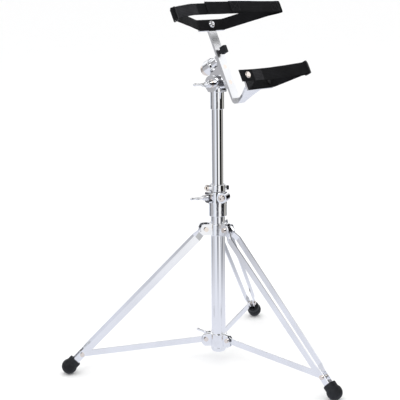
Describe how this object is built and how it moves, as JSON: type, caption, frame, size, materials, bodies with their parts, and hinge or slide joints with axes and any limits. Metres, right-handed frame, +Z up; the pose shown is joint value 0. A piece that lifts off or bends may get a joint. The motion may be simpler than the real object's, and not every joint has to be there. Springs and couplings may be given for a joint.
{
  "type": "hand drum stand",
  "caption": "Folding double-braced tripod stand for a hand drum, with a height clamp, memory collar, ratchet tilter and a flat-bar cradle with two webbing straps.",
  "frame": {"origin": "on the tube axis, in the plane of the floor that the three feet stand on", "axes": "+Z up along the tube; +X the way the cradle faces, over the first leg; +Y completes a right-handed frame"},
  "size_m": [0.5485, 0.628, 0.8096],
  "materials": {
    "chrome_tube": "bright chrome plate on drawn steel tube",
    "chrome_bar": "bright chrome plate on rolled flat steel bar",
    "chrome_casting": "bright chrome plate on die-cast metal, slightly uneven",
    "chrome_fastener": "bright chrome plate on screws, rivets and nuts",
    "hard_steel": "plain machined steel",
    "black_rubber": "moulded matt rubber",
    "black_nylon": "moulded nylon",
    "black_metal": "satin black coated steel",
    "webbing": "flat woven nylon webbing, 25 mm, box stitched"
  },
  "bodies": {
    "base": {"base_tube": "chrome_tube", "tube_end_cap": "chrome_casting", "leg_hub": "chrome_casting", "leg_pivot_screws": "chrome_fastener", "clamp_body": "chrome_casting", "clamp_bush": "black_nylon", "clamp_cap_screw": "chrome_fastener"},
    "brace_hub": {"brace_hub": "chrome_casting", "brace_pivot_rivets": "chrome_fastener"},
    "hub_wing": {"brace_hub_wing_screw": "chrome_casting"},
    "brace_1": {"brace_1": "chrome_bar"},
    "leg_1": {"leg_1_bar_left": "chrome_bar", "leg_1_bar_right": "chrome_bar", "leg_1_spacer": "black_nylon", "leg_1_foot_core": "hard_steel", "leg_1_foot": "black_rubber", "leg_1_rivet": "chrome_fastener"},
    "brace_2": {"brace_2": "chrome_bar"},
    "leg_2": {"leg_2_bar_left": "chrome_bar", "leg_2_bar_right": "chrome_bar", "leg_2_spacer": "black_nylon", "leg_2_foot_core": "hard_steel", "leg_2_foot": "black_rubber", "leg_2_rivet": "chrome_fastener"},
    "brace_3": {"brace_3": "chrome_bar"},
    "leg_3": {"leg_3_bar_left": "chrome_bar", "leg_3_bar_right": "chrome_bar", "leg_3_spacer": "black_nylon", "leg_3_foot_core": "hard_steel", "leg_3_foot": "black_rubber", "leg_3_rivet": "chrome_fastener"},
    "clamp_wing": {"clamp_wing_screw": "chrome_casting"},
    "collar": {"memory_collar": "chrome_casting", "collar_peg_cap": "black_nylon"},
    "collar_key": {"collar_key_screw": "chrome_fastener"},
    "upper": {"upper_tube": "chrome_tube", "upper_tube_glide": "black_nylon", "tilter_base": "chrome_casting", "ratchet_ring_lower": "hard_steel", "tilter_pivot_bolt": "chrome_fastener", "tilter_washer": "chrome_fastener"},
    "tilt_wing": {"tilter_wing_nut": "chrome_casting"},
    "cradle": {"tilter_arm": "chrome_casting", "ratchet_ring_upper": "hard_steel", "boss_stud": "hard_steel", "boss_cap_nut": "chrome_fastener", "cradle_bracket": "chrome_bar", "bracket_screws": "chrome_fastener", "rubber_bumper": "black_rubber", "bumper_spacer": "black_nylon", "bumper_screw": "chrome_fastener", "upper_strap": "webbing", "lower_strap": "webbing", "saddle_bolt": "chrome_fastener", "saddle_nut": "chrome_fastener", "lower_saddle_rivets": "black_metal", "strap_end_rivet": "chrome_fastener", "upper_strap_ring": "black_metal", "lower_strap_ring": "black_metal"}
  },
  "joints": [
    {"name": "fold", "type": "slide", "parent": "base", "child": "brace_hub", "axis": [0, 0, 1], "range_m": [0, 0.14943]},
    {"name": "hub_wing_turn", "type": "hinge", "parent": "brace_hub", "child": "hub_wing", "pos_m": [-0.03, 0, 0.056], "axis": [-1, 0, 0], "continuous": true},
    {"name": "brace_1_pivot", "type": "hinge", "parent": "brace_hub", "child": "brace_1", "pos_m": [0.031, 0, 0.054], "axis": [0, 1, 0], "range_deg": [0, 77.2]},
    {"name": "leg_1_pivot", "type": "hinge", "parent": "brace_1", "child": "leg_1", "pos_m": [0.31462, 0, 0.04375], "axis": [0, 1, 0], "range_deg": [-38.5, 0]},
    {"name": "brace_2_pivot", "type": "hinge", "parent": "brace_hub", "child": "brace_2", "pos_m": [-0.0155, 0.02685, 0.054], "axis": [-0.866, -0.5, 0], "range_deg": [0, 77.2]},
    {"name": "leg_2_pivot", "type": "hinge", "parent": "brace_2", "child": "leg_2", "pos_m": [-0.15731, 0.27247, 0.04375], "axis": [-0.866, -0.5, 0], "range_deg": [-38.5, 0]},
    {"name": "brace_3_pivot", "type": "hinge", "parent": "brace_hub", "child": "brace_3", "pos_m": [-0.0155, -0.02685, 0.054], "axis": [0.866, -0.5, 0], "range_deg": [0, 77.2]},
    {"name": "leg_3_pivot", "type": "hinge", "parent": "brace_3", "child": "leg_3", "pos_m": [-0.15731, -0.27247, 0.04375], "axis": [0.866, -0.5, 0], "range_deg": [-38.5, 0]},
    {"name": "clamp_wing_turn", "type": "hinge", "parent": "base", "child": "clamp_wing", "pos_m": [-0.00675, -0.02923, 0.384], "axis": [-0.225, -0.9744, 0], "continuous": true},
    {"name": "swivel", "type": "hinge", "parent": "base", "child": "collar", "pos_m": [0, 0, 0.403], "axis": [0, 0, 1], "continuous": true},
    {"name": "collar_key_turn", "type": "hinge", "parent": "collar", "child": "collar_key", "pos_m": [-0.01017, -0.02284, 0.404], "axis": [-0.4067, -0.9135, 0], "continuous": true},
    {"name": "height", "type": "slide", "parent": "collar", "child": "upper", "axis": [0, 0, 1], "range_m": [-0.15, 0.09]},
    {"name": "tilt_wing_turn", "type": "hinge", "parent": "upper", "child": "tilt_wing", "pos_m": [0, -0.03, 0.635], "axis": [0, -1, 0], "continuous": true},
    {"name": "tilt", "type": "hinge", "parent": "upper", "child": "cradle", "pos_m": [0, 0, 0.635], "axis": [0, -1, 0], "range_deg": [-27, 50]}
  ],
  "couplings": [
    {"joint": "brace_1_pivot", "follows": "fold", "rad_per_m": 9.0027},
    {"joint": "leg_1_pivot", "follows": "fold", "rad_per_m": -4.483},
    {"joint": "brace_2_pivot", "follows": "fold", "rad_per_m": 9.0027},
    {"joint": "leg_2_pivot", "follows": "fold", "rad_per_m": -4.483},
    {"joint": "brace_3_pivot", "follows": "fold", "rad_per_m": 9.0027},
    {"joint": "leg_3_pivot", "follows": "fold", "rad_per_m": -4.483}
  ]
}
